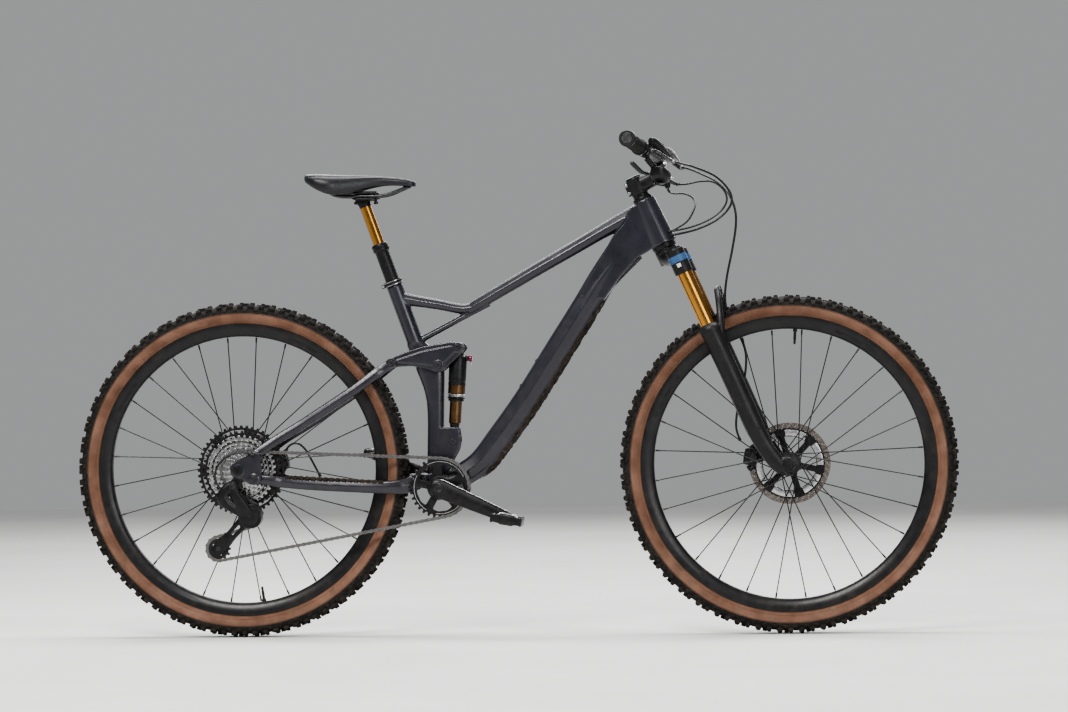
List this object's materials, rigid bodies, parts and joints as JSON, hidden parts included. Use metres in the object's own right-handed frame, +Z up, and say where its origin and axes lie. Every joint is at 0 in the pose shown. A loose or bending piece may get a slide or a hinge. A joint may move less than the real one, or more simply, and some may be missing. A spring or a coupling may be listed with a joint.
{
  "type": "mountain bike",
  "caption": "Full-suspension mountain bike with large tan-wall tyres, gold fork and seat-post tubes, disc brakes, a single chainring and a linkage-driven rear shock.",
  "frame": {"origin": "on the ground, half way between the wheel hubs, in the mid-plane of the bike", "axes": "+X forward towards the front wheel, +Y to the rider's left, +Z up"},
  "size_m": [1.948, 0.777, 1.0852],
  "materials": {
    "frame_paint": "satin dark blue-grey paint over a carbon composite frame",
    "fork_paint": "satin black paint",
    "gold_coating": "polished gold-orange hard coating",
    "black_alloy": "black anodised or black painted alloy, partly carbon",
    "bright_steel": "bright worn steel",
    "dark_steel": "dark coated steel",
    "tyre_rubber": "black knobbly tread with reddish tan sidewalls",
    "grip_rubber": "matt ribbed rubber",
    "saddle_cover": "smooth black synthetic leather",
    "black_plastic": "moulded black plastic",
    "cable_housing": "smooth black hose"
  },
  "bodies": {
    "frame": {"main_frame": "frame_paint", "headset_upper_cup": "black_alloy", "headset_lower_cup": "black_alloy", "seat_collar": "black_alloy", "seatpost_outer": "black_alloy", "chain": "bright_steel"},
    "dropper": {"seatpost_stanchion": "gold_coating", "saddle_rails": "bright_steel", "saddle": "saddle_cover"},
    "chainstay": {"chainstay": "frame_paint"},
    "seatstay": {"seatstay_right": "frame_paint", "seatstay_left": "frame_paint", "rear_axle": "black_alloy", "rear_caliper": "black_alloy", "derailleur_body": "black_alloy", "derailleur_cage": "dark_steel", "derailleur_housing": "cable_housing", "rear_brake_hose": "cable_housing"},
    "rocker": {"rocker_link": "black_alloy"},
    "shock_lower": {"shock_shaft": "gold_coating"},
    "shock_upper": {"shock_can": "black_alloy"},
    "shock_lever": {"shock_lever": "bright_steel"},
    "rear_wheel": {"rear_tyre": "tyre_rubber", "rear_rim": "black_alloy", "rear_hub": "black_alloy", "rear_rotor": "bright_steel"},
    "cassette": {"cassette": "bright_steel"},
    "guide_pulley": {"guide_pulley": "black_plastic"},
    "tension_pulley": {"tension_pulley": "black_plastic"},
    "crank": {"chainring": "black_alloy", "crank_arm_right": "black_alloy", "crank_arm_left": "black_alloy"},
    "pedal_right": {"pedal_right": "black_alloy"},
    "pedal_left": {"pedal_left": "black_alloy"},
    "steering": {"fork_crown": "fork_paint", "stanchion_right": "gold_coating", "stanchion_left": "gold_coating", "stem": "black_alloy", "handlebar": "black_alloy", "grip_right": "grip_rubber", "grip_left": "grip_rubber", "brake_body_right": "black_alloy", "brake_body_left": "black_alloy", "shifter_body": "black_plastic", "remote_body": "black_alloy", "rear_brake_hose_front": "cable_housing", "shift_housing_front": "cable_housing", "dropper_housing": "cable_housing"},
    "fork_lower": {"fork_lowers": "fork_paint", "front_axle": "black_alloy", "front_caliper": "black_alloy", "front_brake_hose": "cable_housing"},
    "front_wheel": {"front_tyre": "tyre_rubber", "front_rim": "black_alloy", "front_hub": "black_alloy", "front_rotor": "bright_steel"},
    "brake_lever_right": {"brake_lever_right": "black_alloy"},
    "brake_lever_left": {"brake_lever_left": "black_alloy"},
    "shift_lever": {"shift_lever": "black_plastic"},
    "dropper_lever": {"dropper_lever": "black_alloy"}
  },
  "joints": [
    {"name": "main_pivot", "type": "hinge", "parent": "frame", "child": "chainstay", "pos_m": [-0.205, 0, 0.345], "axis": [0, 1, 0], "range_deg": [0, 19], "stiffness_Nm_per_rad": 2000, "springref_deg": -1.15, "deforming": ["chain"]},
    {"name": "horst_pivot", "type": "hinge", "parent": "chainstay", "child": "seatstay", "pos_m": [-0.568, 0, 0.352], "axis": [0, 1, 0], "range_deg": [-13.4, 0], "deforming": ["rear_brake_hose"]},
    {"name": "rocker_pivot", "type": "hinge", "parent": "frame", "child": "rocker", "pos_m": [-0.163, 0, 0.596], "axis": [0, 1, 0], "range_deg": [0, 55.5]},
    {"name": "shock_eyelet", "type": "hinge", "parent": "frame", "child": "shock_lower", "pos_m": [-0.134, 0, 0.428], "axis": [0, 1, 0], "range_deg": [0, 8]},
    {"name": "shock_stroke", "type": "slide", "parent": "shock_lower", "child": "shock_upper", "axis": [0.0672, 0, 0.9977], "range_m": [-0.0487, 0]},
    {"name": "shock_lever_turn", "type": "hinge", "parent": "shock_upper", "child": "shock_lever", "pos_m": [-0.09467, 0, 0.61024], "axis": [0.9977, 0, -0.0672], "range_deg": [-45, 45]},
    {"name": "rear_wheel_spin", "type": "hinge", "parent": "seatstay", "child": "rear_wheel", "pos_m": [-0.6035, 0, 0.3705], "axis": [0, 1, 0], "continuous": true},
    {"name": "crank_spin", "type": "hinge", "parent": "frame", "child": "crank", "pos_m": [-0.16, 0, 0.328], "axis": [0, 1, 0], "continuous": true},
    {"name": "cassette_spin", "type": "hinge", "parent": "seatstay", "child": "cassette", "pos_m": [-0.6035, 0, 0.3705], "axis": [0, 1, 0], "continuous": true},
    {"name": "guide_pulley_spin", "type": "hinge", "parent": "seatstay", "child": "guide_pulley", "pos_m": [-0.583, 0, 0.272], "axis": [0, 1, 0], "continuous": true},
    {"name": "tension_pulley_spin", "type": "hinge", "parent": "seatstay", "child": "tension_pulley", "pos_m": [-0.654, 0, 0.198], "axis": [0, 1, 0], "continuous": true},
    {"name": "pedal_right_spin", "type": "hinge", "parent": "crank", "child": "pedal_right", "pos_m": [-0.0041, 0, 0.26021], "axis": [0, 1, 0], "continuous": true},
    {"name": "pedal_left_spin", "type": "hinge", "parent": "crank", "child": "pedal_left", "pos_m": [-0.3159, 0, 0.39579], "axis": [0, 1, 0], "continuous": true},
    {"name": "dropper_travel", "type": "slide", "parent": "frame", "child": "dropper", "axis": [-0.3338, 0, 0.9426], "range_m": [-0.085, 0], "stiffness_N_per_m": 400, "springref_m": 0.05},
    {"name": "steering", "type": "hinge", "parent": "frame", "child": "steering", "pos_m": [0.292, 0, 0.9524], "axis": [-0.4019, 0, 0.9157], "range_deg": [-60, 60], "deforming": ["rear_brake_hose_front", "shift_housing_front", "dropper_housing"]},
    {"name": "fork_travel", "type": "slide", "parent": "steering", "child": "fork_lower", "axis": [-0.4019, 0, 0.9157], "range_m": [0, 0.12], "stiffness_N_per_m": 4500, "springref_m": -0.02, "deforming": ["front_brake_hose"]},
    {"name": "front_wheel_spin", "type": "hinge", "parent": "fork_lower", "child": "front_wheel", "pos_m": [0.6035, 0, 0.3705], "axis": [0, 1, 0], "continuous": true},
    {"name": "brake_lever_right_pull", "type": "hinge", "parent": "steering", "child": "brake_lever_right", "pos_m": [0.362, -0.182, 1.032], "axis": [-0.4427, 0.0352, -0.896], "range_deg": [0, 9], "stiffness_Nm_per_rad": 0.5, "springref_deg": -5.73},
    {"name": "brake_lever_left_pull", "type": "hinge", "parent": "steering", "child": "brake_lever_left", "pos_m": [0.362, 0.182, 1.032], "axis": [0.4427, 0.0352, 0.896], "range_deg": [0, 9], "stiffness_Nm_per_rad": 0.5, "springref_deg": -5.73},
    {"name": "shift_lever_push", "type": "hinge", "parent": "steering", "child": "shift_lever", "pos_m": [0.318, -0.207, 1.003], "axis": [0.2576, 0.3424, 0.9035], "range_deg": [0, 10], "stiffness_Nm_per_rad": 0.2, "springref_deg": -5.73},
    {"name": "dropper_lever_push", "type": "hinge", "parent": "steering", "child": "dropper_lever", "pos_m": [0.31, 0.213, 1.008], "axis": [-0.2836, 0.0709, -0.9563], "range_deg": [0, 12], "stiffness_Nm_per_rad": 0.2, "springref_deg": -5.73}
  ],
  "couplings": [
    {"joint": "horst_pivot", "follows": "main_pivot", "ratio": -0.703},
    {"joint": "rocker_pivot", "follows": "main_pivot", "ratio": 2.917},
    {"joint": "shock_eyelet", "follows": "main_pivot", "ratio": 0.419},
    {"joint": "shock_stroke", "follows": "main_pivot", "m_per_rad": -0.14644},
    {"joint": "cassette_spin", "follows": "crank_spin", "ratio": 1.5238},
    {"joint": "guide_pulley_spin", "follows": "crank_spin", "ratio": -2.4615},
    {"joint": "tension_pulley_spin", "follows": "crank_spin", "ratio": 2.4615}
  ]
}
